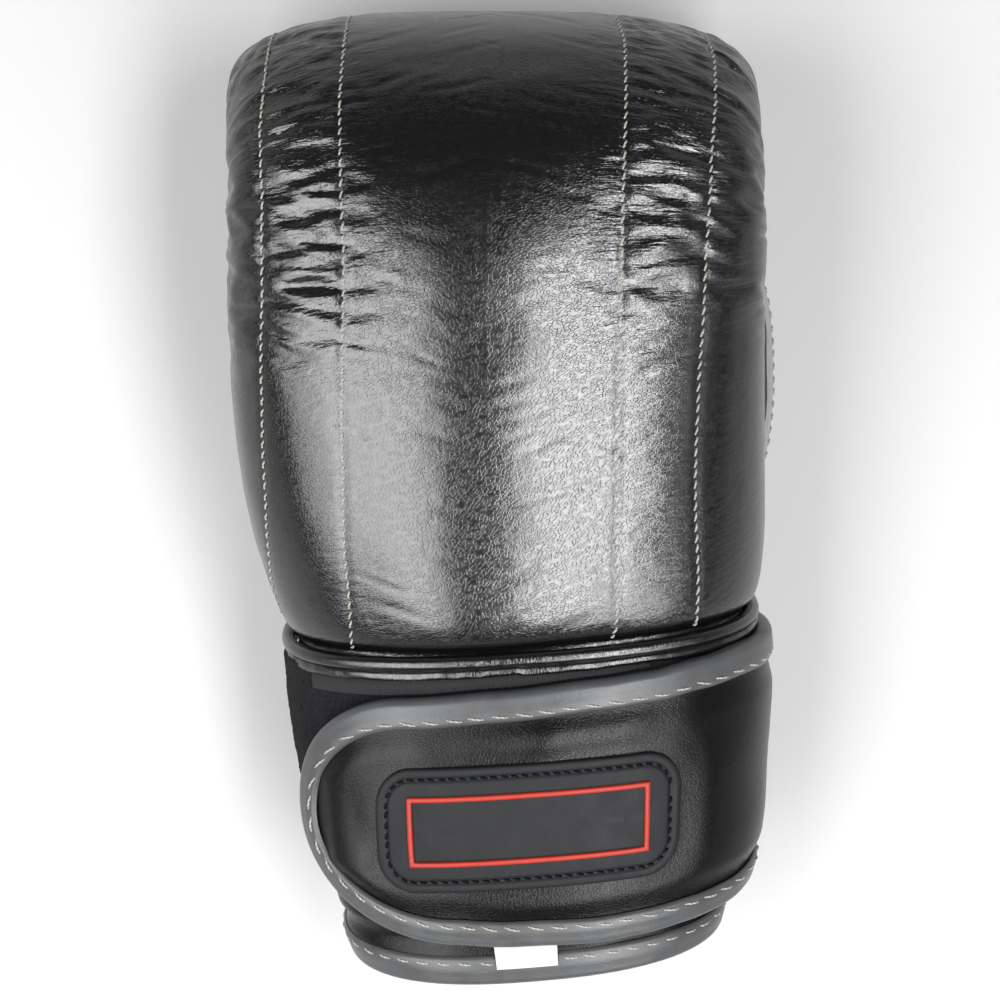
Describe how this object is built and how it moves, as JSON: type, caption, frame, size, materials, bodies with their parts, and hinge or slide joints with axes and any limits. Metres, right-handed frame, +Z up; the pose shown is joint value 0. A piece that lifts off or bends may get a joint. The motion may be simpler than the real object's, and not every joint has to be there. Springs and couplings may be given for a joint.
{
  "type": "padded bag mitt (fight glove)",
  "caption": "Left-hand padded bag mitt lying palm down: thick rolled back pad, thumb stall, hollow hand, and an open cuff wrapped by a wide hook-and-loop wrist strap with a bare badge.",
  "frame": {"origin": "on the floor, under the middle of the mitt's bounding box", "axes": "+X towards the thumb side, +Y from the wrist towards the knuckles, +Z up through the padded back"},
  "size_m": [0.1434, 0.2498, 0.0945],
  "materials": {
    "gloss_leather": "glossy coated leather, finely creased",
    "palm_leather": "semi-gloss coated leather",
    "strap_leather": "semi-gloss coated leather, softly padded",
    "grey_binding": "smooth coated binding tape",
    "pale_binding": "woven binding tape",
    "loop_pile": "matt loop pile",
    "woven_tape": "ribbed woven tape",
    "satin_label": "satin ribbon",
    "badge_rubber": "matt moulded rubber",
    "red_rubber": "satin moulded rubber"
  },
  "bodies": {
    "root": {"back_pad": "gloss_leather", "palm_panel": "palm_leather", "thumb_stall": "palm_leather", "thumb_binding": "pale_binding", "seam_roll": "gloss_leather", "cuff": "strap_leather", "hem_binding": "grey_binding", "loop_patch": "loop_pile", "patch_tape": "woven_tape", "size_tab": "satin_label", "wrist_strap": "strap_leather", "strap_binding": "grey_binding", "badge_plate": "badge_rubber", "badge_frame": "red_rubber"}
  },
  "joints": []
}
